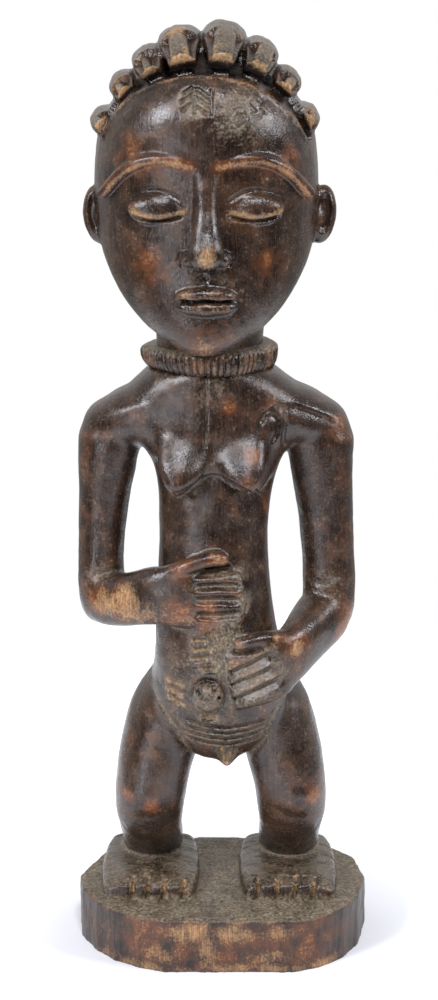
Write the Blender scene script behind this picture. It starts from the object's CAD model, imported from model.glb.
# Hemba ancestor figure: one block of dark oiled wood, carved by hand and worn by handling.
# Drawn in hundredths of its height. The figure looks along -Y, and its own right hand is at -X.
import functools
import math

import bmesh
import bpy
import numpy as np
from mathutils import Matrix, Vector


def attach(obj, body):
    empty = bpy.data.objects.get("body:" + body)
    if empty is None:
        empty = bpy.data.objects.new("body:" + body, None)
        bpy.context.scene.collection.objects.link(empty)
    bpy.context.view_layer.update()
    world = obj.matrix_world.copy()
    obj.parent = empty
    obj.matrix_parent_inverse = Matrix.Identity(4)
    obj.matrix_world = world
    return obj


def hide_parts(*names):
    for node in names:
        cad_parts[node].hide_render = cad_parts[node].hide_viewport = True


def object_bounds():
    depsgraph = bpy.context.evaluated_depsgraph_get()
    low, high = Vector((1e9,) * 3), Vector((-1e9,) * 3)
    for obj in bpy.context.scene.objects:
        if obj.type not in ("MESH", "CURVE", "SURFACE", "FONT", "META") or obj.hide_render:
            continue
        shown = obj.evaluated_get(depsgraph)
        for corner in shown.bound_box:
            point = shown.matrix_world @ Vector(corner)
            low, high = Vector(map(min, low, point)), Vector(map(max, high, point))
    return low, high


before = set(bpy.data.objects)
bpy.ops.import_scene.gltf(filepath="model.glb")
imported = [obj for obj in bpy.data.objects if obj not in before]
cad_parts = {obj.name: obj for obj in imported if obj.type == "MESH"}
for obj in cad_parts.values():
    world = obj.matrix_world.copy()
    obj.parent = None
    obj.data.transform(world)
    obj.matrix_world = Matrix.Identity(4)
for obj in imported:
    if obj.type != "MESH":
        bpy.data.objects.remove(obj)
cadLow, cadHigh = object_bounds()
unit = (cadHigh.z - cadLow.z) / 100
print("Frame loaded: %.0f mm tall" % ((cadHigh.z - cadLow.z) * 1000))

figure = {
    "baseTop": 6.0,  # the soles stand on it
    "head": (-1.7, 1.6, 84.2),
    "chestMiddle": -1.15,
    "headVoxel": 0.14,
    "bodyVoxel": 0.17,
    "baseVoxel": 0.19,
    "headTriangles": 190000,
    "bodyTriangles": 196000,
    "baseTriangles": 110000,
}
headMiddle = Vector(figure["head"])

# level, middle, half width, front, back of each section
trunkSections = (
    (21.6, 0.3, 1.4, -2.8, 6), (22.6, -0.4, 4.2, -4, 8), (25, -0.4, 6.9, -5.3, 9.3),
    (28, -0.3, 7.7, -6.3, 9.6), (31, -0.3, 7.3, -6.8, 8.8), (34, -0.5, 6.8, -6.8, 7.4),
    (38, -0.8, 6.3, -6.3, 6.3), (43, -0.95, 5.9, -5.4, 6.1), (48, -0.95, 5.85, -4.8, 6.6),
    (53, -0.7, 6.4, -4.6, 7.3), (56, -0.7, 7.9, -4.5, 7.6), (58.6, -0.75, 10.3, -4.4, 7.4),
    (60.6, -0.8, 10.3, -4.3, 6.9), (62.2, -0.9, 9.2, -4.3, 6.5), (63.6, -1.1, 7.6, -4.3, 6.6),
    (64.6, -1.2, 6.4, -4.2, 6.8),
)
headSections = (
    (66.9, -1.7, 2.3, -7.4, -2.6), (68, -1.7, 4.2, -8.2, 1.5), (70, -1.7, 6.9, -8.6, 6.2),
    (73, -1.7, 9.2, -8.7, 9.4), (76.5, -1.7, 10.8, -8.7, 11.2), (80.5, -1.7, 11.5, -8.6, 12.2),
    (85, -1.7, 11.6, -9, 12.6), (89, -1.7, 11.1, -9.3, 12.3), (91.6, -1.7, 10, -9.1, 11.4),
    (93.7, -1.7, 8.2, -8.3, 9.8), (95, -1.7, 6.2, -6.7, 7.8), (95.8, -1.7, 4.3, -4.4, 5.8),
    (96.3, -1.7, 2.2, -1.6, 3.6),
)
neckSections = (
    (61, -1.2, 6.2, -4.2, 7.4), (65, -1.25, 5.7, -4, 7.4), (69, -1.4, 5.8, -4.2, 8.2),
    (74, -1.6, 7, -4, 9.6),
)

# place along the limb, half width, half depth
shoulders = (
    ((-14.7, 1.9, 57), 1.4, 1), ((-13.4, 1.9, 57.5), 2.9, 2.3), ((-11.2, 1.9, 58.4), 4, 2.9),
    ((-8, 1.7, 59.4), 4.8, 3.4), ((-0.8, 1.5, 60.2), 5.3, 4.1), ((6.6, 1.7, 59.4), 4.8, 3.4),
    ((9.8, 1.9, 58.4), 4, 2.9), ((12, 1.9, 57.5), 2.9, 2.3), ((13.3, 1.9, 57), 1.4, 1),
)
rightArm = (
    ((-11.8, 1.9, 58.4), 2.6, 2.8), ((-12, 1.9, 56.6), 3.4, 3.6), ((-12.3, 1.9, 54.3), 3.15, 3.5),
    ((-12.8, 1.9, 49), 2.65, 3.2), ((-13.1, 1.7, 44), 2.45, 3), ((-13.1, 1.4, 40.6), 2.5, 2.9),
    ((-13, 1.1, 38), 2.3, 2.5), ((-12.8, 0.9, 36.4), 1.3, 1.4),
)
leftArm = (
    ((10.2, 1.9, 58.4), 2.6, 2.8), ((10.4, 1.9, 56.6), 3.6, 3.6), ((10.5, 1.9, 54.3), 3.4, 3.5),
    ((11, 1.9, 49), 3, 3.2), ((11.35, 1.7, 44), 2.8, 3), ((11.5, 1.4, 40.4), 2.85, 2.9),
    ((11.5, 1.1, 37.4), 2.7, 2.6), ((11.2, 0.7, 35.4), 1.7, 1.6),
)
rightForearm = (
    ((-13.4, 1.5, 39), 1.4, 1.8), ((-12.6, 0.7, 39.1), 2.6, 2.9), ((-10.2, -1.9, 39.6), 2.4, 2.85),
    ((-7.4, -4.4, 40.7), 1.7, 3.05), ((-5, -5.45, 40.9), 1.25, 3.3), ((-2.9, -5.7, 40.7), 1, 3.25),
    ((-0.5, -5.65, 40.55), 0.95, 3.15), ((1.7, -5.4, 40.5), 0.9, 3.05), ((2, -5.35, 40.5), 0.7, 2.9),
)
leftForearm = (
    ((12, 1.5, 38.2), 1.4, 1.8), ((11.2, 0.7, 37.5), 2.6, 3), ((9.4, -1.9, 36.2), 2.4, 3),
    ((7.6, -4.9, 34.9), 1.8, 3.1), ((6, -6.6, 33.9), 1.3, 3.25), ((4.6, -6.95, 33.1), 1.05, 3.3),
    ((2.8, -6.8, 32.5), 1, 3.35), ((1.3, -6.55, 32), 0.9, 3.3), ((0.9, -6.45, 31.9), 0.7, 3.1),
)
rightLeg = (
    ((-3.9, 3.2, 29.2), 3.9, 5), ((-5.6, 2.4, 26), 4.4, 5.3), ((-6.9, 1.7, 22.4), 4.2, 4.9),
    ((-7.7, 0.8, 18.8), 4, 4.5), ((-8, 1.1, 16), 3.85, 4.2), ((-8, 3.9, 12.6), 3.45, 3.7),
    ((-7.9, 6.6, 9.6), 3.4, 3.5), ((-7.9, 7.6, 6.6), 3.4, 3.3),
)


def place(point):
    return Vector(point) * unit


def blendStations(stations, steps):
    # a smooth curve through the given rows (Catmull-Rom)
    rows = np.array([np.hstack([np.atleast_1d(value) for value in row]) for row in stations], float)
    padded = np.vstack([2 * rows[0] - rows[1], rows, 2 * rows[-1] - rows[-2]])
    result = []
    for a, b, c, d in zip(padded, padded[1:], padded[2:], padded[3:]):
        for t in np.arange(steps) / steps:
            result.append(0.5 * (2 * b + (c - a) * t + (2 * a - 5 * b + 4 * c - d) * t ** 2
                                 + (3 * b - a - 3 * c + d) * t ** 3))
    return result + [rows[-1]]


def outline(centre, across, along, power, sides):
    # an oval section at power 2, squarer above it
    points = []
    for number in range(sides):
        angle = math.tau * number / sides
        c, s = math.cos(angle), math.sin(angle)
        c = math.copysign(abs(c) ** (2 / power), c)
        s = math.copysign(abs(s) ** (2 / power), s)
        points.append(place(centre + across * c + along * s))
    return points


def skin(form, outlines):
    # extrude a ring from outline to outline, both ends closed
    ring = bmesh.ops.create_circle(form, cap_ends=True, segments=len(outlines[0]), radius=1.0)["verts"]
    for number, points in enumerate(outlines):
        if number:
            edges = [form.edges.get((a, b)) for a, b in zip(ring, ring[1:] + ring[:1])]
            made = set(bmesh.ops.extrude_edge_only(form, edges=edges)["geom"])
            ring = [next(edge.other_vert(vertex) for edge in vertex.link_edges
                         if edge.other_vert(vertex) in made) for vertex in ring]
        for vertex, point in zip(ring, points):
            vertex.co = point
    edges = [form.edges.get((a, b)) for a, b in zip(ring, ring[1:] + ring[:1])]
    bmesh.ops.contextual_create(form, geom=edges)


def addUpright(form, sections, power):
    outlines = []
    for level, middle, half, front, back in blendStations(sections, 6):
        centre = Vector((middle, (front + back) / 2, level))
        across, along = Vector((half, 0, 0)), Vector((0, (back - front) / 2, 0))
        outlines.append(outline(centre, across, along, power, 64))
    skin(form, outlines)


def addLimb(form, stations, side=(0, 1, 0), power=2.2, steps=6, sides=36):
    rows = blendStations(stations, steps)
    centres = [Vector(row[:3]) for row in rows]
    outlines = []
    for number, row in enumerate(rows):
        run = centres[min(number + 1, len(rows) - 1)] - centres[max(number - 1, 0)]
        across = Vector(side).cross(run).normalized()
        along = run.cross(across).normalized()
        outlines.append(outline(centres[number], across * row[3], along * row[4], power, sides))
    skin(form, outlines)


def addBall(form, centre, radii, turn=0.0):
    ball = bmesh.ops.create_uvsphere(form, u_segments=40, v_segments=24, radius=1.0)["verts"]
    c, s = math.cos(turn), math.sin(turn)
    for vertex in ball:
        x, y, z = (value * radius for value, radius in zip(vertex.co, radii))
        vertex.co = place((centre[0] + x * c - z * s, centre[1] + y, centre[2] + x * s + z * c))


def mirrored(stations, middle):
    return tuple(((2 * middle - x, y, z), wide, deep) for (x, y, z), wide, deep in stations)


# Hair: rolls from the forehead over the crown to a boss behind
hair = {
    # degrees round the head, degrees down to the cut end, half width, height
    "frontRolls": ((156.0, 112.0, 1.7, 0.82), (138.0, 117.0, 1.75, 0.78), (121.5, 121.0, 1.85, 0.8),
                   (103.5, 126.0, 2.3, 0.95), (81.0, 127.0, 2.3, 1.02), (61.5, 122.0, 2.0, 0.98),
                   (44.0, 117.0, 1.8, 0.82), (25.5, 112.0, 1.7, 0.78)),
    "rearRolls": (190.0, 172.5, 9.0, -8.5),  # behind the ears
    "radii": (10.7, 11.0, 13.5),
    "endSpread": 2.4,  # reach of the bare wood on a cut end
    "endNarrow": 0.3,  # how much a roll narrows towards its cut end
    "cap": (11.2, 10.4, 14.4),  # the hair between the rolls
}


def rollStations(angle, start=58.0, half=2.0, height=0.45):
    angle, start, stop = math.radians(angle), math.radians(start), math.radians(14)
    fan = Vector((math.cos(angle), 0, math.sin(angle)))
    stations = []
    for share in np.linspace(0, 1, 15):
        swing = start + (stop - start) * share
        out = fan * math.sin(swing) + Vector((0, math.cos(swing), 0))
        skull = Vector([a * b for a, b in zip(out, hair["radii"])])
        lift = 1.33 * height - 0.48 + (0.25 + 0.5 * height) * max(0, 1 - share / 0.2)
        narrow = hair["endNarrow"] * max(0, 1 - share / 0.34) ** 1.4
        wide = half * math.sin(swing) ** 0.8 * (1 - narrow)
        tall = (1.15 + 0.7 * min(share / 0.2, 1)) * (1 - 0.35 * share) * (0.45 + 0.55 * height)
        stations.append((tuple(headMiddle + skull + out * lift), wide, tall))
    return stations


def addRoll(form, stations):
    rows = blendStations(stations, 4)
    centres = [Vector(row[:3]) for row in rows]
    outlines = []
    for number, row in enumerate(rows):
        run = (centres[min(number + 1, len(rows) - 1)] - centres[max(number - 1, 0)]).normalized()
        across = run.cross(centres[number] - headMiddle).normalized()
        along = across.cross(run)
        outlines.append(outline(centres[number], across * row[3], along * row[4], 2.15, 32))
    skin(form, outlines)


def addHair(form):
    addBall(form, headMiddle + Vector((0, 0.3, 0)), hair["cap"])
    for roll in hair["frontRolls"]:
        addRoll(form, rollStations(*roll))
    for angle in hair["rearRolls"]:
        addRoll(form, rollStations(angle))
    addBall(form, headMiddle + Vector((0, 11.4, 0)), (3.0, 1.6, 3.0))


# Face: a calm one of the maker's own, on the thirds of the head
face = {
    "brow": 86.0,
    "eyes": 82.0,
    "eyeAway": 4.9,
    "noseTip": 77.6,
}
ears = {
    "middle": -1.35,
    "away": 11.6,
    "level": 80.3,
}


def browLine(side, shares, drop=0.0):
    # the arch of a brow from the nose outwards, seen from the front
    return [(headMiddle.x + side * 10.6 * s, face["brow"] - drop + 1.1 * math.sin(s * 3) - 3.2 * s ** 4)
            for s in shares]


def eyeArc(side, half, level, bow, count=13):
    # a shallow arc across an eye
    x = headMiddle.x + side * face["eyeAway"]
    return [(x + s * half, level + bow * (1 - s * s)) for s in np.linspace(-1, 1, count)]


def addFace(form):
    middle = headMiddle.x
    shares = np.linspace(0, 1, 7)
    for side in (-1, 1):
        brow = [((x, -8.55 + 3.9 * s ** 3, z), 0.6, 0.62)
                for s, (x, z) in zip(shares, browLine(side, shares))]
        addLimb(form, brow, side=(0, 1, 0.3), steps=4, sides=20)
        eye = (middle + side * face["eyeAway"], -7.3, face["eyes"])
        addBall(form, eye, (3.0, 1.45, 1.75), side * -0.05)
        addBall(form, (middle + side * 1.6, -8.9, 77.0), (1.05, 1.1, 0.8))
    addLimb(form, (((middle, -8.3, 86.4), 1.7, 0.9), ((middle, -8.7, 83.2), 1.15, 1.0),
                   ((middle, -9.3, 79.8), 1.4, 1.2), ((middle, -9.9, face["noseTip"]), 1.8, 1.3),
                   ((middle, -9.5, 76.4), 1.3, 0.9)))
    for level, tall, reach, bow in ((73.4, 0.75, -8.7, -0.025), (72.0, 0.8, -8.6, 0.025)):
        lip = [((middle + x, reach + 0.035 * x * x, level + bow * x * x), tall * wide, 0.95 * wide)
               for x, wide in ((-3.1, 0.3), (-2.0, 0.85), (0, 1.0), (2.0, 0.85), (3.1, 0.3))]
        addLimb(form, lip, steps=4, sides=20)


def addEars(form):
    for side in (-1, 1):
        ear = (side * ears["away"] + ears["middle"], 1.6, ears["level"])
        addBall(form, ear, (1.6, 1.3, 3.1), side * -0.1)


def addHeadForms(form):
    addUpright(form, neckSections, 2.0)
    addUpright(form, headSections, 2.15)
    addFace(form)
    addEars(form)
    addHair(form)


# Body, from the collar to the soles
feet = {
    "middles": (-8.0, 7.3),
    "half": 5.3,
    "top": 8.1,
    "toes": ((-9.9, -8.2, -6.5, -4.3), (3.8, 5.9, 7.9, 9.9)),  # cuts between the toes
}
thumbs = (
    (((-6.4, -4.9, 43), 0.9, 1.1), ((-4.2, -5.8, 44.1), 0.9, 1), ((-2.6, -6, 44.8), 0.85, 0.95),
     ((-1, -5.95, 45.2), 0.8, 0.9), ((0.1, -5.75, 45.1), 0.7, 0.8), ((0.6, -5.6, 44.9), 0.4, 0.5)),
    (((7.4, -6, 36.3), 1, 1.1), ((5, -6.9, 36.8), 0.85, 1), ((2.9, -7.1, 36.5), 0.75, 0.95),
     ((1.7, -7, 36.15), 0.65, 0.8), ((1.2, -6.9, 36.05), 0.45, 0.55)),
)
loins = (
    ((0.35, -2.5, 25.2), 2.8, 1.5), ((0.4, -2.7, 23.4), 2, 1.5), ((0.45, -2.7, 22), 1.1, 1.1),
    ((0.45, -2.6, 21.1), 0.35, 0.5),
)
navel = (-1.5, 30.25)


def addFeet(form):
    shares = ((-4.0, 0.88), (-2.6, 0.97), (2.0, 1.02), (7.0, 1.0), (9.8, 0.93), (10.6, 0.88))
    for middle in feet["middles"]:
        foot = [((middle, y, figure["baseTop"]), feet["half"] * share, feet["top"] - figure["baseTop"])
                for y, share in shares]
        addLimb(form, foot, side=(0, 0, 1), power=5.0, steps=4)


def addBreasts(form):
    rows = ((2.0, -2.5, 60.5, 1.8, 0.5), (2.5, -3.15, 58.2, 2.8, 0.9), (3.0, -4.0, 56.0, 2.9, 1.2),
            (3.4, -4.9, 54.2, 2.4, 1.3), (3.65, -5.6, 53.0, 1.4, 1.0), (3.7, -5.9, 52.3, 0.5, 0.5))
    for side in (-1, 1):
        addLimb(form, [((figure["chestMiddle"] + side * away, y, z), wide, deep)
                       for away, y, z, wide, deep in rows])


def addBodyForms(form):
    addUpright(form, trunkSections, 2.3)
    addLimb(form, shoulders, side=(0, 0, 1))
    for limb in (rightArm, leftArm, rightLeg, mirrored(rightLeg, -0.2)):
        addLimb(form, limb)
    for forearm in (rightForearm, leftForearm):
        addLimb(form, forearm, side=(0, 0, 1), power=2.5)
    for x in (-4.3, 3.7):
        addBall(form, (x, 6.2, 26.6), (4.3, 4.0, 4.4))
    addBall(form, (navel[0], -6.8, 30.1), (1.75, 1.2, 1.85))
    addLimb(form, loins)
    addBreasts(form)
    for thumb in thumbs:
        addLimb(form, thumb)
    addFeet(form)


# Base: an uneven oval slab cut with an adze
base = {
    "wide": (cadHigh.x - cadLow.x) / unit,
    "deep": 24.0,
    "middle": 2.4,
    "corners": (
        (-0.19, -0.5), (0.24, -0.5), (0.33, -0.45), (0.41, -0.35), (0.468, -0.2), (0.5, 0.02),
        (0.468, 0.25), (0.4, 0.36), (0.235, 0.45), (0.05, 0.5), (-0.078, 0.5), (-0.265, 0.44),
        (-0.416, 0.333), (-0.5, 0.04), (-0.486, -0.12), (-0.432, -0.27), (-0.365, -0.38), (-0.28, -0.455),
    ),
    "rim": 0.3,
    "chipRing": (15.6, 11.7),  # half width and half depth
}


def addBaseForm(form):
    corners = base["corners"]
    rim = bmesh.ops.create_circle(form, cap_ends=True, segments=len(corners), radius=1.0)["verts"]
    for vertex, (across, along) in zip(rim, corners):
        vertex.co = place((across * base["wide"], along * base["deep"] + base["middle"], 0))
    lifted = bmesh.ops.extrude_face_region(form, geom=form.faces[:])["geom"]
    top = [item for item in lifted if isinstance(item, bmesh.types.BMVert)]
    bmesh.ops.translate(form, verts=top, vec=(0, 0, figure["baseTop"] * unit))
    bmesh.ops.recalc_face_normals(form, faces=form.faces)
    edges = [edge for edge in form.edges if all(vertex in top for vertex in edge.verts)]
    bmesh.ops.bevel(form, geom=edges, offset=base["rim"] * unit, segments=3, profile=0.5,
                    affect="EDGES", material=-1)


# Carving: the surface as arrays of points, in drawn units
def readArray(items, key, width, kind=np.float32):
    values = np.empty(len(items) * width, kind)
    items.foreach_get(key, values)
    return values.reshape(-1, width)


def readPoints(mesh):
    return readArray(mesh.vertices, "co", 3).astype(float) / unit


def readEdges(mesh):
    return readArray(mesh.edges, "vertices", 2, np.int32)


def readNormals(mesh):
    return readArray(mesh.vertex_normals, "vector", 3).astype(float)


def writePoints(mesh, points):
    mesh.vertices.foreach_set("co", (points * unit).astype(np.float32).ravel())
    mesh.update()


def relax(points, edges, weight, rounds):
    # each point moves towards the middle of its neighbours
    count = np.bincount(edges.ravel(), minlength=len(points))[:, None]
    weight = np.broadcast_to(weight, len(points))[:, None]
    for _ in range(rounds):
        total = np.empty_like(points)
        for axis in range(points.shape[1]):
            total[:, axis] = (np.bincount(edges[:, 0], points[edges[:, 1], axis], len(points))
                              + np.bincount(edges[:, 1], points[edges[:, 0], axis], len(points)))
        points = points + weight * (total / count - points)
    return points


def ramp(values, low, high):
    share = np.clip((values - low) / (high - low), 0, 1)
    return share * share * (3 - 2 * share)


def waves(points, size, seed):
    # smooth noise from -1 to 1, one wave per size
    table = np.random.default_rng(seed).random((24, 24, 24)) * 2 - 1
    cells = points / size
    low = np.floor(cells).astype(int)
    t = cells - low
    t = t * t * (3 - 2 * t)
    total = 0
    for corner in np.ndindex(2, 2, 2):
        at = (low + corner) % 24
        weight = np.prod(np.where(np.array(corner) == 1, t, 1 - t), axis=1)
        total = total + weight * table[at[:, 0], at[:, 1], at[:, 2]]
    return total


def scallops(points, size, seed):
    # distance to the nearest of scattered centres: shallow cuts with ridges between
    table = np.random.default_rng(seed).random((16, 16, 16, 3))
    cells = points / size
    low = np.floor(cells).astype(int)
    best = np.full(len(points), 9.0)
    for corner in np.ndindex(3, 3, 3):
        at = low + np.array(corner) - 1
        wrapped = at % 16
        centre = at + table[wrapped[:, 0], wrapped[:, 1], wrapped[:, 2]]
        best = np.minimum(best, ((cells - centre) ** 2).sum(axis=1))
    return best


def lineShare(flat, line):
    # distance to a line of straight steps, share along it, and height above it
    best = np.full(len(flat), 1e9)
    along = np.zeros(len(flat))
    above = np.zeros(len(flat))
    line = np.array(line, float)
    lengths = np.linalg.norm(np.diff(line, axis=0), axis=1)
    starts = np.concatenate([[0], np.cumsum(lengths)])
    for number, (a, b) in enumerate(zip(line, line[1:])):
        run = (b - a) / lengths[number]
        reach = np.clip((flat - a) @ run, 0, lengths[number])
        away = flat - (a + reach[:, None] * run)
        distance = np.linalg.norm(away, axis=1)
        near = distance < best
        best = np.where(near, distance, best)
        along = np.where(near, (starts[number] + reach) / starts[-1], along)
        above = np.where(near, away[:, 1], above)
    return best, along, above


def facingFront(points, normals, reach):
    return ramp(-normals[:, 1], 0.05, 0.5) * (points[:, 1] < reach)


def cutLine(points, normals, line, width, depth, reach=0.0, taper=0.12):
    # a V groove drawn on the front, shallower at its ends
    away, along, _ = lineShare(points[:, [0, 2]], line)
    ends = np.clip(np.minimum(along, 1 - along) / taper, 0, 1) if taper else 1
    points[:, 1] += depth * ends * ramp(1 - away / width, 0, 1) * facingFront(points, normals, reach)


def cutStep(points, normals, line, steep, shallow, depth, reach=0.0, fades=(0.3, 0.02), curve=1.0):
    # a knife cut: straight in below the line, then sloping out again; it fades at the line's two ends
    away, along, above = lineShare(points[:, [0, 2]], line)
    below = np.where(above < 0, away, 0)
    profile = np.where(below < steep, below / steep, np.clip(1 - (below - steep) / shallow, 0, 1) ** curve)
    ends = ramp(along, 0, fades[0]) * ramp(1 - along, 0, fades[1])
    points[:, 1] += depth * profile * ends * facingFront(points, normals, reach)


def swell(points, normals, centre, radii, height):
    # a soft rise along the surface's own direction
    away = (((points - centre) / radii) ** 2).sum(axis=1)
    points += normals * (height * np.exp(-away * 1.5))[:, None]


def adze(points, normals, size, depth, seed, where=1.0):
    cut = np.clip(scallops(points, size, seed) - 0.35, -0.35, 0.6)
    points += normals * (cut * depth * where)[:, None]


def newPiece(form, name):
    mesh = bpy.data.meshes.new(name)
    form.to_mesh(mesh)
    form.free()
    piece = bpy.data.objects.new(name, mesh)
    bpy.context.scene.collection.objects.link(piece)
    return piece


def applyModifiers(piece):
    old = piece.data
    dressed = piece.evaluated_get(bpy.context.evaluated_depsgraph_get())
    piece.data = bpy.data.meshes.new_from_object(dressed)
    piece.modifiers.clear()
    bpy.data.meshes.remove(old)


def buildPiece(name, addForms, voxel, softPlaces, rounds, carvings, triangles):
    # rough forms fused into one skin, softened where they meet, then carved
    form = bmesh.new()
    addForms(form)
    bmesh.ops.recalc_face_normals(form, faces=form.faces)
    piece = newPiece(form, name)
    fuse = piece.modifiers.new("fuse", "REMESH")
    fuse.mode = "VOXEL"
    fuse.voxel_size = voxel * unit
    applyModifiers(piece)
    points, edges = readPoints(piece.data), readEdges(piece.data)
    soft = np.zeros(len(points))
    for middle, reach in softPlaces:
        away = np.linalg.norm(points - middle, axis=1)
        soft = np.maximum(soft, np.clip(1.5 - 1.5 * away / reach, 0, 1))
    if softPlaces:
        points = relax(points, edges, 0.7 * soft, int(40 * (0.225 / voxel) ** 2))
    points = relax(points, edges, 0.5, rounds)
    for carving in carvings:
        writePoints(piece.data, points)
        carving(points, readNormals(piece.data))
    writePoints(piece.data, points)
    thin = piece.modifiers.new("thin", "DECIMATE")
    thin.ratio = min(1.0, triangles / (2 * len(piece.data.polygons)))
    applyModifiers(piece)
    piece.data.shade_smooth()
    print("%s: %d triangles" % (name, len(piece.data.polygons)))
    return piece


# Head: lines as seen from the front
foreheadRim = [
    (-12.3, 88.6), (-11.6, 90.4), (-9.4, 92.9), (-6.4, 94.3), (-3.5, 95), (-0.1, 94.9), (2.6, 94.2),
    (4.9, 92.9), (7.2, 90.8), (8.6, 88.4),
]
clanMark = (
    [(-2.8, 94), (-2.8, 91.3)], [(-4, 93.2), (-2.9, 94)], [(-4.3, 92.4), (-2.9, 93.4)],
    [(-4.2, 91.6), (-3, 92.5)], [(-2.7, 93.9), (-1.3, 92.9)], [(-2.7, 93), (-1.3, 92)],
    [(-2.7, 92.2), (-1.5, 91.3)], [(-1.15, 93.9), (-1.15, 91.1)],
)


def skullShares(points, normals):
    # how far out a point lies, 1 on the skull, and how squarely it faces outwards
    outward = (points - headMiddle) / hair["radii"]
    shell = np.linalg.norm(outward, axis=1)
    return shell, (normals * outward).sum(axis=1) / shell


def hairShare(points, shell):
    # 1 on the rolls, 0 on the bare skull and the face
    away, _, above = lineShare(points[:, [0, 2]], foreheadRim)
    behindRim = np.where(points[:, 1] < -2.5, ramp(np.where(above > 0, away, 0), 0.4, 1.0), 1)
    notEar = (points[:, 2] > 84.2) | (points[:, 1] > 4)
    return ramp(shell, 1.1, 1.18) * behindRim * notEar


def onForehead(points):
    return (points[:, 1] < -2) * (points[:, 2] > 87)


def carveForehead(points, normals):
    # the hair stands behind a worn rim: the wood steps back above this line
    away, _, side = lineShare(points[:, [0, 2]], foreheadRim)
    above = np.where(side > 0, away, 0)
    shell, facing = skullShares(points, normals)
    skull = ramp(1.2 - shell, 0, 0.05) * ramp(facing, 0.35, 0.7) * onForehead(points)
    points -= normals * (0.75 * ramp(above, 0, 0.3) * skull)[:, None]
    points += normals * (0.12 * ramp(0.5 - away, 0, 0.4) * onForehead(points) * (side < 0))[:, None]
    # old clan mark: a stem with slanting strokes in a shallow arch
    x, z = points[:, 0] + 2.8, points[:, 2] - 92.6
    arch = np.clip(1.2 - (x / 1.8) ** 2 - (z / 1.9) ** 2, 0, 1) * facingFront(points, normals, -4)
    points[:, 1] += 0.2 * ramp(arch, 0, 0.9) * ramp(z, -2.2, 0.5)
    for line in clanMark:
        cutLine(points, normals, line, 0.3, 0.4, -4.0)
    # scratches beside the mark
    rng = np.random.default_rng(4)
    rooms = ((-0.6, 4.2), (89.8, 92.9), (-1.2, 1.2), (0.2, 0.6))  # across, level, turn, half length
    for _ in range(34):
        cx, cz, turn, half = (rng.uniform(*room) for room in rooms)
        dx, dz = math.cos(turn) * half, math.sin(turn) * half
        cutLine(points, normals, [(cx - dx, cz - dz), (cx + dx, cz + dz)], 0.15, 0.1, -4.0, 0.3)


def carveFace(points, normals):
    middle = headMiddle.x
    for side in (-1, 1):
        cutLine(points, normals, eyeArc(side, 2.75, 81.35, -0.6), 0.3, 0.5, -4.0)
        cutLine(points, normals, eyeArc(side, 2.9, 82.4, 1.35), 0.4, 0.22, -4.0)
    parting = ((-2.8, 72.75), (-1.2, 72.65), (0, 72.8), (1.2, 72.65), (2.8, 72.75))
    cutLine(points, normals, [(middle + x, z) for x, z in parting], 0.3, 0.65, -4.0)
    cutLine(points, normals, [(middle, 75.6), (middle, 74.3)], 0.45, 0.2, -4.0, 0.3)
    for side in (-1, 1):
        nostril = [(middle + side * away, z) for away, z in ((2.3, 77.7), (2.75, 76.9), (2.2, 76.2))]
        cutLine(points, normals, nostril, 0.35, 0.3, -4.0)


def carveEars(points, normals):
    # a hollow leaf with a rolled rim and a small lobe in front of the hollow
    for side in (-1, 1):
        x = (points[:, 0] - ears["middle"]) * side - 11.85
        z = points[:, 2] - 80.5
        turn = z * 0.06
        inside = 1 - ((x - turn) / 0.85) ** 2 - (z / 2.25) ** 2
        lobe = np.exp(-(((x + 0.75) / 0.5) ** 2 + ((z + 0.4) / 0.9) ** 2))
        front = ramp(-normals[:, 1], -0.1, 0.4) * (points[:, 1] > -1.5) * (points[:, 1] < 3)
        points[:, 1] += (0.62 * ramp(inside, 0, 0.7) * (1 - 0.8 * lobe)) * front * (np.abs(x) < 2)


def carveHair(points, normals):
    # flats left by the knife along each roll
    shell, _ = skullShares(points, normals)
    onHair = hairShare(points, shell)
    adze(points, normals, 2.6, 0.16, 11, onHair)
    x, y, z = (points - headMiddle).T
    run = np.column_stack([np.arctan2(z, x) * 13, np.arctan2(np.hypot(x, z), y) * 3, shell * 4])
    points += normals * ((0.09 * waves(run, 0.75, 12) + 0.05 * waves(run, 0.35, 13)) * onHair)[:, None]


def tool(points, normals):
    # the whole surface: slight flats and undulation
    adze(points, normals, 2.3, 0.05, 21)
    points += normals * (0.05 * waves(points, 2.4, 22) + 0.018 * waves(points, 0.7, 23))[:, None]


# Body: lines as seen from the front
rightHandCuts = (
    [(-3.3, 43.5), (-0.6, 43.75), (1.2, 43.9)], [(-3.3, 42.15), (-0.3, 42.3), (2.2, 42.1)],
    [(-3.3, 40.8), (-0.3, 40.8), (2.2, 40.6)], [(-3.2, 39.2), (-0.9, 39), (2.2, 39.2)],
)
leftHandCuts = (
    [(5.4, 36.1), (3.7, 35), (2.1, 34.1), (0.5, 33.3)],
    [(5.8, 34.5), (4.1, 33.6), (2.9, 33), (1.7, 32.5), (0.6, 31.8)],
    [(6.6, 33.5), (5, 32.5), (3.5, 31.7), (2.1, 31), (0.9, 30.3)],
)
leftThumbCut = [(0.9, 35.3), (3.1, 35.5), (4.4, 35.9)]
bellyCuts = (
    [(-3.4, 36.25), (-1.6, 36.3)], [(-3.3, 35.3), (-1.1, 35.4)], [(-3.4, 34.3), (-1.4, 34.4)],
    [(-2.4, 33.3), (-0.6, 33.4)], [(-5.9, 31.5), (-4.4, 31.15)], [(-6, 30.5), (-4.3, 30)],
    [(-5.9, 29.6), (-4.2, 29)], [(-2.4, 27.9), (-0.6, 27.9)], [(-2.4, 27.4), (-0.6, 27.45)],
)
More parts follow.
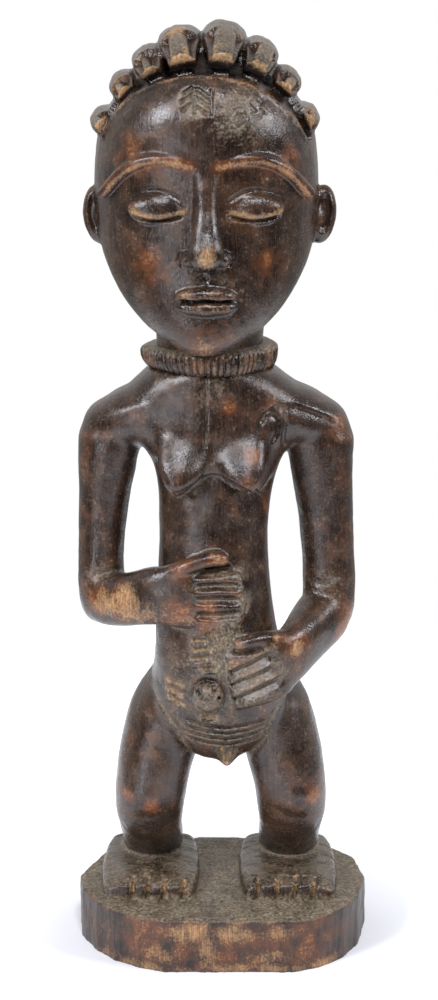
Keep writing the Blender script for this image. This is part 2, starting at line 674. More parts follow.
breastEdge = [
    (-6.9, 55.6), (-6.4, 54.1), (-5.7, 52.7), (-4.9, 51.4), (-4.1, 51.9), (-2.9, 53.2), (-1.4, 54),
    (-0.5, 54), (0.8, 53.7), (2.4, 52.9), (3.9, 51.8), (4.5, 52.5), (5.2, 53.8),
]
groinLines = (
    [(-7.6, 30), (-7, 28.9), (-6, 27.4), (-4.7, 25.8), (-3.4, 22.6)],
    [(6.8, 29.3), (6.1, 28.3), (5.1, 26.5), (4.4, 24.1), (2.7, 21.6)],
)
cordLines = tuple([(-4.4, 27.3 - drop), (-1.9, 26.65 - drop), (0.4, 26.35 - drop), (2.8, 26.65 - drop),
                   (5.2, 27.25 - drop)] for drop in (0.0, 0.7, 1.4, 2.1))
pubisLines = ([(-0.6, 23.9), (0.2, 21.5)], [(0.45, 23.9), (0.45, 21.3)], [(1.5, 23.9), (0.7, 21.5)])
pubisRidges = ([(-0.1, 23.8), (0.3, 21.4)], [(1, 23.8), (0.6, 21.4)])
elbowCreases = (
    ([(-14.9, 41.7), (-12.7, 42.4), (-10.6, 42.3)], 0.28), ([(8.8, 41), (10.4, 41.3), (12.8, 41.3)], 0.25),
)
dryingCrack = [(-1.8, 64.2), (-1.85, 61.8), (-1.75, 59.7), (-1.85, 57.6), (-1.8, 55.9)]
armpitChip = [(4.1, 59), (4.3, 60.1), (5.2, 60.4), (5.9, 59.4), (5.7, 58), (5.1, 56.9)]
armpitEdge = [(4.2, 60.6), (5.6, 61.2), (7.2, 60.6)]
armpitFold = [(6.4, 60.6), (6.5, 59), (6.3, 57.2), (6.5, 55.6)]
shoulderEdge = [(6, 61.3), (7.4, 61.2), (9.7, 60.3), (12.8, 58.8)]
kneeLines = (
    [(11.2, 17.4), (9, 16.1), (7.2, 16.3), (5.6, 17.8)],
    [(-6, 17.4), (-7.9, 16.2), (-9.3, 16.1), (-11.4, 17.2)],
)
toeLines = ([(-12.4, -2), (-8, -2.35), (-3.2, -1.9)], [(2.4, -1.8), (7, -2.3), (11.8, -2.1)])  # from above


def carveHands(points, normals):
    for line in rightHandCuts:
        cutLine(points, normals, line, 0.66, 0.7, -3.0, 0.2)
    for line in leftHandCuts:
        cutStep(points, normals, line, 0.3, 1.05, 0.8, -4.0)
    cutLine(points, normals, leftThumbCut, 0.4, 0.6, -4.0)
    for line, depth in elbowCreases:
        cutLine(points, normals, line, 0.7, depth, 1.0, 0.4)


def carveBelly(points, normals):
    for line in bellyCuts:
        cutLine(points, normals, line, 0.4, 0.6, -2.0, 0.25)
    # under the breasts, an arch between two points: the wood steps in below the edge
    cutStep(points, normals, breastEdge, 0.35, 4.0, 0.6, 1.0, (0.08, 0.08), 2.5)
    # navel: a round knob in a hollow, with three pits
    x, z = points[:, 0] - navel[0], points[:, 2] - navel[1]
    away = np.hypot(x, z)
    front = facingFront(points, normals, -4.0)
    knob = ramp(2.0 - away, 0, 0.5) * front
    ring = np.clip(1 - np.abs(away - 1.75) / 0.5, 0, 1)
    points[:, 1] += 0.5 * ring * front * (0.55 + 0.45 * np.sin(2.2 - x - 0.6 * z))
    points[:, 1] += 0.3 * waves(points, 1.2, 61) * knob
    for px, pz, wide, tall in ((-2.55, 30.8, 0.5, 0.85), (-0.9, 31.2, 0.5, 0.55), (-0.4, 30.3, 0.3, 0.4)):
        pit = np.hypot((points[:, 0] - px) / wide, (points[:, 2] - pz) / tall)
        points[:, 1] += 0.6 * ramp(1 - pit, 0, 0.8) * front
    # groin lines, the cord round the loins, and the V below it
    for line in groinLines:
        cutLine(points, normals, line, 0.55, 0.35, 1.5, 0.25)
    for lines, width, depth in ((cordLines, 0.32, 0.48), (pubisLines, 0.3, 0.35)):
        for line in lines:
            cutLine(points, normals, line, width, depth)


def carveChest(points, normals):
    cutLine(points, normals, dryingCrack, 0.2, 0.5, 0.0, 0.25)
    # a chip curls up in front of the left armpit
    swell(points, normals, (4.8, -4.2, 58.4), (0.9, 0.9, 1.5), 0.35)
    cutLine(points, normals, armpitChip, 0.34, 0.6, 1.0)
    cutStep(points, normals, armpitEdge, 0.3, 1.2, 0.45, 1.0, (0.3, 0.3))
    cutLine(points, normals, armpitFold, 0.35, 0.35, 1.5)
    # the left shoulder breaks into a front plane along an edge
    cutStep(points, normals, shoulderEdge, 0.6, 4.0, 0.36, 1.5, (0.3, 0.3), 2.0)
    swell(points, normals, (-9.0, -2.6, 60.6), (2.2, 1.4, 0.8), 0.16)


def carveLegs(points, normals):
    for x in (-8.6, 8.6):
        swell(points, normals, (x, -3.4, 17.6), (2.6, 1.6, 1.5), 0.28)
    # the shin stands back below the kneecap
    for line in kneeLines:
        cutStep(points, normals, line, 1.1, 3.4, 0.34, 0.0, (0.4, 0.4))
    # the front of each foot slopes down to the toes
    low = points[:, 2] < figure["baseTop"] + 2.6
    drop = np.where(low & (points[:, 1] < -2.0), 0.55 * ramp(-points[:, 1], 2.2, 4.6), 0)
    points[:, 2] -= drop * ramp(points[:, 2], 6.6, 8.0)
    for notches in feet["toes"]:
        for x in notches:
            line = [(x - 0.15, figure["baseTop"] - 0.4), (x + 0.2, feet["top"] + 0.3)]
            away, _, _ = lineShare(points[:, [0, 2]], line)
            deep = np.clip(1 - away / 0.36, 0, 1) * ramp(-points[:, 1], 2.0, 2.8) * low
            points[:, 1] += 0.75 * deep * ramp(-normals[:, 1], -0.1, 0.3)
            points[:, 2] -= 0.45 * deep * ramp(normals[:, 2], 0.2, 0.7)
    # a scored line behind the toes
    for line in toeLines:
        away, along, _ = lineShare(points[:, [0, 1]], line)
        ends = np.clip(np.minimum(along, 1 - along) / 0.1, 0, 1)
        points[:, 2] -= 0.2 * ends * np.clip(1 - away / 0.3, 0, 1) * ramp(normals[:, 2], 0.3, 0.7) * low


def toolBody(points, normals):
    tool(points, normals)
    # the feet keep the marks of the knife
    onFeet = ramp(8.7 - points[:, 2], 0, 0.4)
    points += normals * (0.05 * waves(points * (0.5, 3.2, 3.2), 1.0, 31) * onFeet)[:, None]
    scratchTop(points, normals, 32, 170, (-14, -4, 6.8, 8.8), 0.2, 2.2, 0.17)


# Collar: a thick ring of upright cuts
collar = {
    "middle": (-1.4, 1.7, 64.2),
    "radius": 7.15,
    "height": 2.6,
    "tilt": 0.4,  # taller at the figure's left
    "ribs": 62,
    "ribDepth": 0.36,
    "steps": 10,  # points across one rib
    # share of the height, share of the radius
    "profile": ((0.0, 0.85), (0.06, 0.91), (0.15, 0.945), (0.3, 0.975), (0.5, 0.995), (0.72, 1.0),
                (0.84, 0.99), (0.92, 0.96), (0.97, 0.92), (1.0, 0.85), (1.0, 0.76)),
}


def makeCollar():
    form = bmesh.new()
    middle = Vector(collar["middle"])
    rng = np.random.default_rng(7)
    steps, count = collar["steps"], collar["ribs"]
    widths = 1 + 0.28 * rng.uniform(-1, 1, count)
    starts = np.concatenate([[0], np.cumsum(widths)]) / widths.sum()
    depths = collar["ribDepth"] * (1 + 0.35 * rng.uniform(-1, 1, count))
    leans = 0.12 * rng.uniform(-1, 1, count)
    outlines = []
    for level, size in collar["profile"]:
        points = []
        for number in range(count * steps):
            rib, step = divmod(number, steps)
            share = starts[rib] + (starts[rib + 1] - starts[rib]) * step / steps
            angle = math.tau * (share + leans[rib] * (level - 0.5) / count)
            away = abs(step / steps - 0.5) * 2  # 0 at the middle of a rib, 1 in the cut
            fade = min(1, 1.6 * (1.03 - level) + 0.25)
            cut = depths[rib] * away ** 2.2 * fade * (1 if size > 0.8 else 0.2)
            square = 1 + 0.018 * math.cos(4 * angle)
            radius = collar["radius"] * size * square - cut
            c, s = math.cos(angle), math.sin(angle)
            rise = (collar["height"] + collar["tilt"] * c) * level - 0.2 * c
            points.append(place(middle + Vector((radius * c, radius * s, rise))))
        outlines.append(points)
    skin(form, outlines)
    bmesh.ops.recalc_face_normals(form, faces=form.faces)
    piece = newPiece(form, "ribbed_collar")
    points = readPoints(piece.data)
    points += readNormals(piece.data) * (0.05 * waves(points, 0.9, 41))[:, None]
    writePoints(piece.data, points)
    piece.data.shade_smooth()
    print("ribbed_collar: %d faces" % len(piece.data.polygons))
    return piece


# Tool marks of the base and the feet
def scratchTop(points, normals, seed, count, room, turn, length, depth):
    # light knife marks on upward faces, within room: left, front, low, high
    left, front, low, high = room
    rng = np.random.default_rng(seed)
    near = np.flatnonzero((normals[:, 2] > 0.3) & (points[:, 2] > low) & (points[:, 2] < high))
    flat = points[near, :2]
    for _ in range(count):
        middle = np.array((rng.uniform(left, 14), rng.uniform(front, 13)))
        angle, half = rng.uniform(-turn, turn), rng.uniform(0.3, 1) * length
        step = half * np.array((math.cos(angle), math.sin(angle)))
        away, along, _ = lineShare(flat, [middle - step, middle + step])
        ends = np.clip(np.minimum(along, 1 - along) / 0.3, 0, 1)
        points[near, 2] -= depth * rng.uniform(0.4, 1) * ends * np.clip(1 - away / 0.2, 0, 1)


def carveBase(points, normals):
    x, y, z = points.T
    onSide = ramp(np.hypot(normals[:, 0], normals[:, 1]), 0.5, 0.85)
    onTop = ramp(normals[:, 2], 0.5, 0.85)
    # long upright cuts and split grain on the sides
    adze(points, normals, 2.4, 0.10, 51, onSide)
    around = np.column_stack([x, y, z * 0.16])
    grain = 0.05 * waves(around, 0.55, 52) + 0.035 * waves(around, 0.26, 53)
    points += normals * (grain * onSide)[:, None]
    # an uneven top with tool marks
    marks = 0.05 * waves(points * (0.6, 2.4, 1.0), 1.0, 54) + 0.1 * waves(points, 2.2, 55)
    points[:, 2] += (marks - 0.05) * onTop
    scratchTop(points, normals, 56, 150, (-14, -8, 5.2, 6.4), 3.1, 0.7, 0.16)


def chipBase(points, normals):
    rng = np.random.default_rng(9)
    wide, deep = base["chipRing"]
    for _ in range(26):
        angle = rng.uniform(0, math.tau)
        x, y = wide * math.cos(angle), base["middle"] + deep * math.sin(angle)
        size = rng.uniform(0.3, 0.7)
        z = figure["baseTop"] - 0.1 if rng.random() < 0.6 else 0.1
        away = (((points - (x, y, z)) / (size * 1.6, size * 1.6, size * 0.7)) ** 2).sum(axis=1)
        points -= normals * (rng.uniform(0.1, 0.3) * (1 if z > 1 else 0.4) * np.exp(-away * 2))[:, None]
    points[:, 2] = np.where(points[:, 2] < 0.12, 0.0, points[:, 2])


# where the joins are softened: place, reach
softBody = (
    ((-11.5, 1.9, 58), 5.5), ((10, 1.9, 58), 5.5), ((-0.8, -3, 61), 5.5), ((-0.8, 6, 60), 8),
    ((-12.8, 0.8, 38.6), 4), ((11.4, 0.8, 38), 4), ((-4.6, 1.5, 29), 7.5), ((4.2, 1.5, 29), 7.5),
    ((-7.8, 0.5, 17.5), 5), ((7.4, 0.5, 17.5), 5), ((-0.3, 7.5, 26), 6), ((-7.4, 2, 32.6), 5.5),
    ((6.8, 2, 32.6), 5.5), ((0.4, -2, 23.5), 2.5), ((-4.8, -4, 58.6), 6), ((2.5, -4, 58.6), 6),
    ((-6.8, -3.4, 56.2), 3.6), ((4.5, -3.4, 56.2), 3.6), ((-6.6, -2, 62), 7.5), ((5, -2, 62), 7.5),
)
softHead = (((-1.6, 3, 70), 6),)

headPiece = buildPiece("carved_head", addHeadForms, figure["headVoxel"], softHead, 5,
                       (carveForehead, carveFace, carveEars, carveHair, tool), figure["headTriangles"])
bodyPiece = buildPiece("carved_body", addBodyForms, figure["bodyVoxel"], softBody, 5,
                       (carveChest, carveBelly, carveHands, carveLegs, toolBody), figure["bodyTriangles"])
basePiece = buildPiece("oval_base", addBaseForm, figure["baseVoxel"], (), 3, (carveBase, chipBase),
                       figure["baseTriangles"])
collarPiece = makeCollar()


# Wear, bare wood and dust, painted on the points: place, reach, strength
warmPlaces = (
    # red-brown wood that hands have rubbed
    ((0.7, -4.4, 60.8), 1.3, 0.8), ((3, -5.6, 56.2), 1.5, 0.7), ((12.8, -0.5, 58), 2.2, 0.6),
    ((-13.1, -2.3, 39.6), 2.4, 1), ((-10.6, -4, 39.8), 2.8, 0.9), ((-5, -6.6, 39.2), 2.2, 0.8),
    ((-1.4, -6.6, 38.3), 1.8, 1), ((-1.6, -6.7, 39.9), 1.6, 0.8), ((-0.6, -6.6, 45.3), 1.4, 1),
    ((-4.2, -6.4, 44.4), 1.8, 0.8), ((13.3, -0.8, 37), 2.2, 0.9), ((12.4, -1.6, 35.6), 2, 0.9),
    ((8.1, -6.8, 35.8), 2, 1), ((1.7, -7.6, 36.2), 1, 0.9), ((6, -7.9, 37.2), 1.2, 0.8),
    ((-10.3, -2.9, 17.7), 1.2, 1), ((-7.7, -3.6, 16.6), 1.4, 0.9), ((9.9, -2.9, 17.7), 1.3, 1),
    ((9, -3.2, 19.6), 1.8, 0.35), ((5.4, -2, 50), 2.4, 0.45), ((5.6, -2, 45.5), 2.2, 0.45),
    ((-14, -0.5, 56.5), 2.6, 0.4), ((-14.4, -0.5, 48), 2.6, 0.3), ((12.9, -0.8, 47), 2.6, 0.35),
    ((-3.9, -5.6, 55.2), 1.5, 0.4), ((4.9, -3.6, 53.4), 1.2, 0.6), ((13.2, -0.8, 53), 2.6, 0.4),
    ((-6.6, -1, 45), 2, 0.3), ((-1, -6, 46.8), 2.5, 0.3), ((-9.5, -2, 24), 2.5, 0.3),
    ((10, -1.5, 14), 2.2, 0.3), ((-4.6, -1.5, 20), 1.6, 0.3),
)
barePlaces = (
    ((-12.4, -3.1, 39.5), 1.9, 0.8), ((-10, -4.4, 40.2), 2.4, 0.7), ((8, -7, 35.7), 1.1, 0.9),
    ((-7, -6, 39.6), 2, 0.35), ((-0.7, -6.6, 45.5), 0.9, 0.6), ((-9, -5, 38.6), 1.3, 0.5),
    ((-3.6, -6.6, 38.4), 1, 0.5), ((5.6, -8, 37.3), 0.8, 0.7),
)
dustPlaces = (
    ((0.3, -6.6, 36.9), 2.4, 0.7), ((0, -6.5, 33.5), 1.6, 0.8), ((0.4, -6.4, 30), 1.5, 0.45),
    ((2.9, -6, 40.5), 1.4, 0.8), ((2.2, -5.8, 43.5), 1.4, 0.7), ((-2.6, -6.4, 31.5), 2, 0.25),
    ((-4.6, -5.6, 33), 2.6, 0.25), ((0.3, -5.2, 26.8), 3, 0.15), ((-1.5, -4.6, 63.6), 3, 0.2),
    ((3.2, -7.2, 31.5), 3, 0.5), ((-0.5, -5.6, 43.8), 1.6, 0.5), ((-4, -5, 28.5), 3, 0.12),
    ((-9.3, -4, 37.8), 2, 0.3), ((-13, -1, 42), 2, 0.3), ((11, -1, 41), 2, 0.25),
)
headBare = (
    ((-4.6, -1.6, 99.4), 1.3, 0.8), ((-13.6, -3, 89.8), 1.2, 0.7), ((10.6, -3.2, 90.3), 1.2, 0.6),
    ((-1.7, -10.6, 77.4), 1.3, 0.9), ((-1.7, -8.4, 67.6), 1.6, 0.5),
)
headWarm = (
    ((-7.5, -7.6, 76), 2.4, 0.7), ((5, -7.6, 76.4), 2.6, 0.7), ((-1.7, -8.6, 68.5), 3, 0.6),
    ((-4.5, -0.5, 99.6), 2.5, 0.6), ((3, -0.5, 99), 2.5, 0.4), ((-9, -6, 87.5), 2.5, 0.5),
    ((6.5, -6.5, 87), 2.5, 0.6),
)
headDust = (((1.5, -8.5, 91.4), 3.2, 0.8), ((-1.7, -8.6, 74.6), 3, 0.3), ((-2.8, -8.6, 92.4), 1.9, 1.4))
frontBare = (
    # rubbed patches on the front of the base: across, level, half width, half height, strength
    (-3.4, 4.6, 3.4, 1.5, 0.7), (-1.6, 2.5, 1.2, 2.6, 0.75), (1.2, 4.5, 2.6, 1.3, 0.75),
    (5.8, 4.7, 2.4, 1.1, 0.7), (-6.4, 2, 2.2, 1.4, 0.55), (4.6, 1.8, 3.4, 1, 0.6),
)


def spots(points, places):
    best = np.zeros(len(points))
    for middle, reach, strength in places:
        away = np.linalg.norm(points - middle, axis=1) / reach
        best = np.maximum(best, strength * ramp(1.25 - away, 0, 0.9))
    return best


def frontLines(points, normals, lines, width, reach=1.0):
    # 1 on any of the drawn lines, fading over the width
    best = np.zeros(len(points))
    for line in lines:
        away, _, _ = lineShare(points[:, [0, 2]], line)
        best = np.maximum(best, ramp(1 - away / width, 0, 0.8))
    return best * facingFront(points, normals, reach)


def paintPiece(piece, paint):
    # warm, bare, dust and soot are shares from 0 to 1 at each point
    mesh = piece.data
    points, edges, normals = readPoints(mesh), readEdges(mesh), readNormals(mesh)
    near = relax(points, edges, 1.0, 10)
    far = relax(near, edges, 1.0, 60)
    fine = ((near - points) * normals).sum(axis=1)
    broad = ((far - points) * normals).sum(axis=1)
    shares = paint(points, normals, fine, broad)
    smoothed = relax(np.column_stack([np.clip(share, 0, 1) for share in shares]), edges, 0.5, 2)
    for name, values in zip(("warm", "bare", "dust", "soot"), smoothed.T):
        layer = mesh.attributes.new(name, "FLOAT", "POINT")
        layer.data.foreach_set("value", values.astype(np.float32))
    print("%s painted" % piece.name)


def paintHead(points, normals, fine, broad):
    crest, hollow = ramp(-fine, 0.03, 0.10), ramp(fine, 0.03, 0.12)
    bare, soot = np.zeros(len(points)), 0.2 * ramp(broad, 0.12, 0.5) + 0.25 * hollow
    # the cut ends of the rolls are bare above and dark below
    for roll in hair["frontRolls"]:
        stations = rollStations(*roll)
        end, nextOne = Vector(stations[0][0]), Vector(stations[1][0])
        run = np.array((end - nextOne).normalized())
        out = np.array((end - headMiddle).normalized())
        offset = points - np.array(end)
        close = ramp(hair["endSpread"] - np.linalg.norm(offset, axis=1), 0, 0.6)
        facing = ramp(normals @ run, 0.3, 0.7) * close
        height = offset @ out
        bare = np.maximum(bare, facing * ramp(height, 0.05, 0.4))
        soot = np.maximum(soot, 0.9 * facing * ramp(0.15 - height, 0, 0.3))
    bare = np.maximum(bare, spots(points, headBare))
    front = (points[:, 1] < -6.0) * (points[:, 2] < 90)
    bare = np.maximum(bare, crest * front * 0.35)
    lids = [eyeArc(side, 2.6, 81.75, -0.6, 7) for side in (-1, 1)]
    brows = [browLine(side, np.linspace(0.12, 0.97, 8), 0.3) for side in (-1, 1)]
    for share, lines, width, reach in ((0.75, lids, 0.5, -4), (0.62, brows, 0.55, -3),
                                       (0.4, [foreheadRim], 0.4, -1.5)):
        bare = np.maximum(bare, share * frontLines(points, normals, lines, width, reach))
    warm = np.maximum(0.4 * crest, spots(points, headWarm))
    warm = np.maximum(warm, 0.9 * frontLines(points, normals, brows, 1.2, -3))
    dust = 0.6 * spots(points, headDust)
    soot = np.maximum(soot, 0.35 * frontLines(points, normals, clanMark, 0.32, -4))
    # soot behind the forehead's rim, dust on the hair
    away, _, side = lineShare(points[:, [0, 2]], foreheadRim)
    under = (side > 0) * ramp(away, 0.15, 0.5) * (points[:, 1] < -3) * (points[:, 2] > 87)
    shell, facing = skullShares(points, normals)
    soot = np.maximum(soot, 0.45 * under * ramp(1.17 - shell, 0, 0.04))
    onHair = hairShare(points, shell)
    dust = np.maximum(dust, 0.5 * onHair * ramp(facing, 0.3, 0.9))
    bare = np.maximum(bare, 0.5 * onHair * crest)
    soot = soot * (1 - 0.5 * onHair * ramp(facing, 0.2, 0.6))
    return warm, bare, dust, soot


def paintBody(points, normals, fine, broad):
    x, y, z = points.T
    crest, hollow = ramp(-fine, 0.03, 0.12), ramp(fine, 0.03, 0.12)
    warm = np.maximum(spots(points, warmPlaces), 0.45 * crest)
    onFeet = ramp(8.8 - z, 0, 0.5)
    warm *= 1 - 0.8 * onFeet
    bare = np.maximum(spots(points, barePlaces), 0.14 * crest * (z < 45) * (z > 29) * (y < -5))
    dust = np.maximum(spots(points, dustPlaces) * ramp(-normals[:, 1], -0.2, 0.4), 0.45 * hollow)
    for share, lines, width, reach in ((0.35, rightHandCuts, 0.4, -2), (1.1, bellyCuts, 0.4, -2),
                                       (0.5, cordLines, 0.4, -2), (0.6, groinLines + pubisLines, 0.5, 1.5),
                                       (0.5, leftHandCuts, 0.8, -4)):
        dust = np.maximum(dust, share * frontLines(points, normals, lines, width, reach))
    cloud = 0.5 + 0.5 * waves(points, 1.7, 71)
    dust *= 0.75 + 0.5 * cloud
    # dust lies on the feet and in the corner with the base
    dust = np.maximum(dust, onFeet * ramp(normals[:, 2], 0.0, 0.8) * (0.22 + 0.4 * cloud + 0.4 * hollow))
    dust = np.maximum(dust, 0.8 * ramp(9.6 - z, 0, 1.2) * ramp(broad, 0.05, 0.3))
    dust = np.maximum(dust, 0.9 * ramp(6.75 - z, 0, 0.5))
    for notches in feet["toes"]:
        lines = [[(notch - 0.1, figure["baseTop"]), (notch + 0.15, 8.4)] for notch in notches]
        slash = frontLines(points, normals, lines, 0.48, -2.0) * onFeet * ramp(z, 6.3, 6.9)
        bare = np.maximum(bare, slash)
    onNavel = ramp(2.2 - np.hypot(x - navel[0], z - navel[1]), 0, 0.4) * (y < -5)
    pits = onNavel * ramp(fine, 0.02, 0.1)
    dust *= 1 - 0.9 * pits
    bare = np.maximum(bare * (1 - onNavel), 0.75 * frontLines(points, normals, bellyCuts, 0.32, -2))
    bare = np.maximum(bare, 0.7 * frontLines(points, normals, pubisRidges, 0.3, 1))
    dust = np.maximum(dust, 0.5 * onNavel * (1 - pits))
    warm = np.maximum(warm, 0.5 * onNavel * ramp(z, 30.4, 31.4))
    soot = np.maximum(0.5 * ramp(broad, 0.25, 0.7) * (z > 12), 0.7 * pits)
    return warm, bare, dust, soot


def paintBase(points, normals, fine, broad):
    # the front of the base and its foot are rubbed to bare wood
    x, y, z = points.T
    side = ramp(np.hypot(normals[:, 0], normals[:, 1]), 0.4, 0.8)
    top = ramp(normals[:, 2], 0.4, 0.9)
    front = ramp(-y, 5.0, 8.5) * side
    bare = np.zeros(len(points))
    for px, pz, wide, tall, share in frontBare:
        bare = np.maximum(bare, share * ramp(1.4 - np.hypot((x - px) / wide, (z - pz) / tall), 0, 1.2))
    bare *= 0.9 * front
    cloud = 0.5 + 0.5 * waves(points, 1.6, 72)
    foot = ramp(1.5 - z, 0, 1.2) * side
    bare = np.maximum(bare, foot * (0.1 + 0.75 * ramp(-y, 2.0, 8.0)) * (0.3 + 0.9 * cloud))
    warm = np.maximum((0.15 + 0.45 * front) * side, 0.6 * ramp(-fine, 0.03, 0.1))
    cracks = (0.45 * ramp(fine, 0.02, 0.1) + 0.15 * cloud) * side * (1 - front)
    dust = np.maximum(top * (0.5 + 0.6 * cloud), cracks)
    rim = ramp(z, 5.3, 5.8) * ramp(0.9 - normals[:, 2], 0, 0.5)
    return warm, bare, dust * (1 - 0.7 * rim), 0.7 * rim * (1 - ramp(-fine, 0.05, 0.12))


def paintCollar(points, normals, fine, broad):
    top = ramp(normals[:, 2], 0.4, 0.9)
    cloud = 0.5 + 0.5 * waves(points, 2.5, 73)
    bare = 0.2 * ramp(-fine, 0.06, 0.16)
    return 0.7 * cloud * (1 - top), bare, 0.8 * top + 0.25 * cloud, ramp(fine, 0.03, 0.12) * (1 - top)


for piece, paint in ((headPiece, paintHead), (bodyPiece, paintBody), (basePiece, paintBase),
                     (collarPiece, paintCollar)):
    paintPiece(piece, paint)


# Materials
def hexColour(code):
    # sRGB hex to linear
    channels = [int(code[i:i + 2], 16) / 255 for i in (1, 3, 5)]
    return tuple(c / 12.92 if c <= 0.04045 else ((c + 0.055) / 1.055) ** 2.4 for c in channels) + (1.0,)


def addNode(tree, kind, inputs=None, output=0, **settings):
    # one node with its settings and links; gives back one of its outputs
    item = tree.nodes.new("ShaderNode" + kind)
    for key, value in settings.items():
        setattr(item, key, value)
    for key, value in (inputs or {}).items():
        if isinstance(value, bpy.types.NodeSocket):
            tree.links.new(value, item.inputs[key])
        else:
            item.inputs[key].default_value = value
    return item.outputs[output]


def newMaterial(name):
    material = bpy.data.materials.new(name)
    material.use_nodes = True
    return material, material.node_tree, material.node_tree.nodes["Principled BSDF"]


def perMillimetre(size):
    # noise scale for waves of this size in mm, on coordinates in metres
    return 1000.0 / size


patina = {
    "deep": "#17100e", "body": "#362922", "umber": "#452f1f", "grey": "#57493d",
    "warm": "#56301a", "bright": "#875328", "bare": "#b5956b", "bareDark": "#8a6038",
    "dust": "#91846d", "dustDark": "#544a3b", "soot": "#0c0908",
    "blotch": 8.0,  # mm, as the sizes below
    "cloud": 26.0,
    "speck": 1.1,
    "pore": 0.8,  # pores and fibres, drawn coarse enough to show
    "grain": 0.6,
    "grainLength": 12.0,
    "relief": 0.00022,  # metres
}


def oiledWood(name, gloss=0.0, grainDepth=0.4):
    # hardwood blackened with oil and smoke, polished by hands, rubbed through to bare wood on high points
    material, tree, shader = newMaterial(name)
    add = functools.partial(addNode, tree)
    tone = {key: hexColour(value) for key, value in patina.items() if isinstance(value, str)}
    spot = add("TexCoord", output="Object")
    along = add("Mapping", {"Vector": spot, "Scale": (1.0, 1.0, patina["grain"] / patina["grainLength"])})
    texture, share = {}, {}
    for key, vector, detail, rough in (("blotch", spot, 4.0, 0.58), ("cloud", spot, 3.0, 0.62),
                                       ("speck", spot, 2.0, 0.62), ("pore", spot, 3.0, 0.6),
                                       ("grain", along, 4.0, 0.65)):
        texture[key] = add("TexNoise", {"Vector": vector, "Scale": perMillimetre(patina[key]),
                                        "Detail": detail, "Roughness": rough})
    half = add("Math", {0: texture["blotch"], 1: 0.5}, operation="MULTIPLY")
    texture["ragged"] = add("Math", {0: texture["speck"], 1: 0.5, 2: half}, operation="MULTIPLY_ADD")

    # the painted shares, with their edges broken up by a texture
    for key, source, spread, low, high, most in (
            ("warm", "blotch", 2.4, 0.2, 0.9, 0.85), ("dust", "ragged", 1.7, 0.1, 1.1, 0.85),
            ("bare", "ragged", 2.4, 0.26, 1.0, 0.85), ("soot", "blotch", 0.4, 0.1, 0.9, 0.9)):
        painted = add("Attribute", output="Fac", attribute_name=key)
        centred = add("Math", {0: texture[source], 1: 0.5}, operation="SUBTRACT")
        texture[key] = add("Math", {0: centred, 1: spread, 2: painted}, operation="MULTIPLY_ADD")
        share[key] = add("MapRange", {"Value": texture[key], "From Min": low, "From Max": high,
                                      "To Max": most})
    for key, source, low, high, first, second in (
            ("body", "blotch", 0.32, 0.66, 0, 1), ("cloudy", "cloud", 0.42, 0.62, 0, 1),
            ("patchy", "blotch", 0.38, 0.62, 0.2, 0.8), ("fibre", "grain", 0.5, 0.68, 0, 0.55),
            ("furrow", "grain", 0.5, 0.36, 0, 0.6), ("ash", "speck", 0.56, 0.72, 0, 0.55),
            ("bareGrain", "grain", 0.4, 0.6, 0, 1), ("dustSpeck", "speck", 0.38, 0.62, 0, 1),
            ("warmest", "warm", 0.55, 1.15, 0, 1), ("warmSpeck", "speck", 0.4, 0.6, 0, 1),
            ("polish", "blotch", 0.35, 0.7, 0.17 - gloss, 0.34 - gloss)):
        share[key] = add("MapRange", {"Value": texture[source], "From Min": low, "From Max": high,
                                      "To Min": first, "To Max": second})
    for key, first, second in (("umber", "cloudy", "patchy"), ("bright", "warmest", "warmSpeck")):
        share[key] = add("Math", {0: share[first], 1: share[second]}, operation="MULTIPLY")

    # colours laid over one another: result, share, below, above
    for key, part, below, above in (
            ("wood", "body", "deep", "body"), ("wood", "umber", "wood", "umber"),
            ("wood", "fibre", "wood", "umber"), ("wood", "furrow", "wood", "deep"),
            ("wood", "ash", "wood", "grey"), ("bareWood", "bareGrain", "bareDark", "bare"),
            ("dusty", "dustSpeck", "dustDark", "dust"), ("rubbed", "bright", "warm", "bright"),
            ("wood", "warm", "wood", "rubbed"), ("wood", "dust", "wood", "dusty"),
            ("wood", "bare", "wood", "bareWood"), ("wood", "soot", "wood", "soot")):
        tone[key] = add("Mix", {0: share[part], 6: tone[below], 7: tone[above]}, 2, data_type="RGBA")
    tree.links.new(tone["wood"], shader.inputs["Base Color"])

    matt = add("Math", {0: share["dust"], 1: share["bare"]}, operation="MAXIMUM")
    roughness = add("Math", {0: matt, 1: 0.35, 2: share["polish"]}, operation="MULTIPLY_ADD")
    tree.links.new(roughness, shader.inputs["Roughness"])
    shader.inputs["IOR"].default_value = 1.52
    height = texture["blotch"]
    for key, weight in (("grain", grainDepth), ("pore", 0.6)):
        height = add("Math", {0: texture[key], 1: weight, 2: height}, operation="MULTIPLY_ADD")
    bump = add("Bump", {"Height": height, "Distance": patina["relief"], "Strength": 1.0})
    tree.links.new(bump, shader.inputs["Normal"])
    return material


handledWood = oiledWood("oiled hardwood, handled")
adzedWood = oiledWood("oiled hardwood, adzed block", gloss=-0.12, grainDepth=1.2)
for piece, finish in ((headPiece, handledWood), (bodyPiece, handledWood), (collarPiece, handledWood),
                      (basePiece, adzedWood)):
    piece.data.materials.clear()
    piece.data.materials.append(finish)
    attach(piece, "root")
    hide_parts("ancestor_figure")
print("Materials done")


# Stage, light and camera, in metres
lamps = {
    # place, side of the square, watts
    "key softbox": ((-0.85, -0.8, 0.8), 0.28, 14.0),
    "front softbox": ((0.1, -0.95, 1.2), 0.24, 12.5),
    "low reflector": ((-0.5, -0.87, 0.1), 0.08, 1.8),
    "right softbox": ((1.0, -0.4, 0.7), 0.3, 8.0),
}
view = {
    # worked out from the rims of the base in the photograph
    "spot": (-0.00156, -0.96, 0.436),
    "tilt": 76.2,  # degrees up from straight down
    "lens": 83.484,  # mm, as the sensor
    "sensor": 36.0,
}


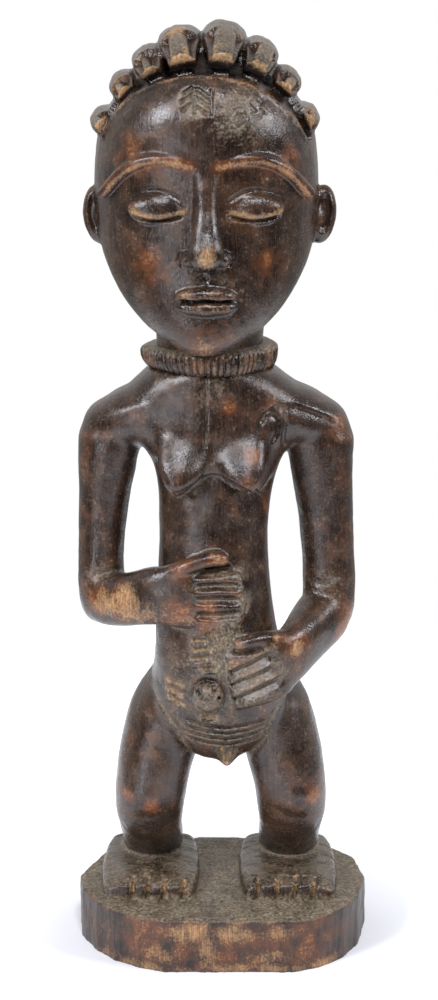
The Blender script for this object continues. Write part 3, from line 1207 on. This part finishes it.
def areaLight(name, spot, size, watts):
    lamp = bpy.data.lights.new(name, "AREA")
    lamp.size = size
    lamp.energy = watts
    lamp.color = hexColour("#f7f8ff")[:3]
    holder = bpy.data.objects.new(name, lamp)
    holder.location = spot
    aim = Vector((0, 0, 0.2)) - Vector(spot)  # at the figure's middle
    holder.rotation_euler = aim.to_track_quat("-Z", "Y").to_euler()
    bpy.context.scene.collection.objects.link(holder)


def makeStage():
    form = bmesh.new()
    bmesh.ops.create_circle(form, cap_ends=True, segments=96, radius=0.5)
    floor = newPiece(form, "floor")
    # painted card: even and without shine
    board, tree, shader = newMaterial("matt white board")
    shader.inputs["Base Color"].default_value = hexColour("#e4e5e9")
    shader.inputs["Roughness"].default_value = 0.8
    shader.inputs["Emission Color"].default_value = hexColour("#ffffff")
    # brighter away from the figure, so that the floor's far edge is lost in the white
    spot = addNode(tree, "TexCoord", output="Object")
    away = addNode(tree, "VectorMath", {0: spot}, "Value", operation="LENGTH")
    glow = addNode(tree, "MapRange", {"Value": away, "From Min": 0.07, "From Max": 0.2,
                                      "To Min": 0.03, "To Max": 0.6})
    tree.links.new(glow, shader.inputs["Emission Strength"])
    floor.data.materials.append(board)
    makeWorld()
    for name, (spot, size, watts) in lamps.items():
        areaLight(name, spot, size, watts)
    bpy.context.scene.view_settings.view_transform = "Standard"


def makeWorld():
    # a white tent, open and darker on the camera's side; the backdrop itself shows pure white
    world = bpy.data.worlds.new("studio")
    world.use_nodes = True
    tree = world.node_tree
    background = tree.nodes["Background"]
    skyward = addNode(tree, "TexCoord", output="Generated")
    direction = addNode(tree, "SeparateXYZ", {0: skyward}).node.outputs
    light = 1.0
    for axis, low, high, first, second in ((1, -0.45, 0.5, 0.05, 0.9), (2, -0.3, 0.2, 0.3, 1.0)):
        share = addNode(tree, "MapRange", {"Value": direction[axis], "From Min": low, "From Max": high,
                                           "To Min": first, "To Max": second})
        light = addNode(tree, "Math", {0: share, 1: light}, operation="MULTIPLY")
    seen = addNode(tree, "LightPath", output="Is Camera Ray")
    tree.links.new(addNode(tree, "Mix", {0: seen, 2: light, 3: 1.0}), background.inputs["Strength"])
    background.inputs["Color"].default_value = hexColour("#ffffff")
    bpy.context.scene.world = world


def makeCamera():
    lens = bpy.data.cameras.new("camera")
    lens.lens = view["lens"]
    lens.sensor_width = view["sensor"]
    lens.clip_start = 0.01
    camera = bpy.data.objects.new("camera", lens)
    camera.location = view["spot"]
    camera.rotation_euler = (math.radians(view["tilt"]), 0, 0)
    bpy.context.scene.collection.objects.link(camera)
    bpy.context.scene.camera = camera


makeStage()
makeCamera()
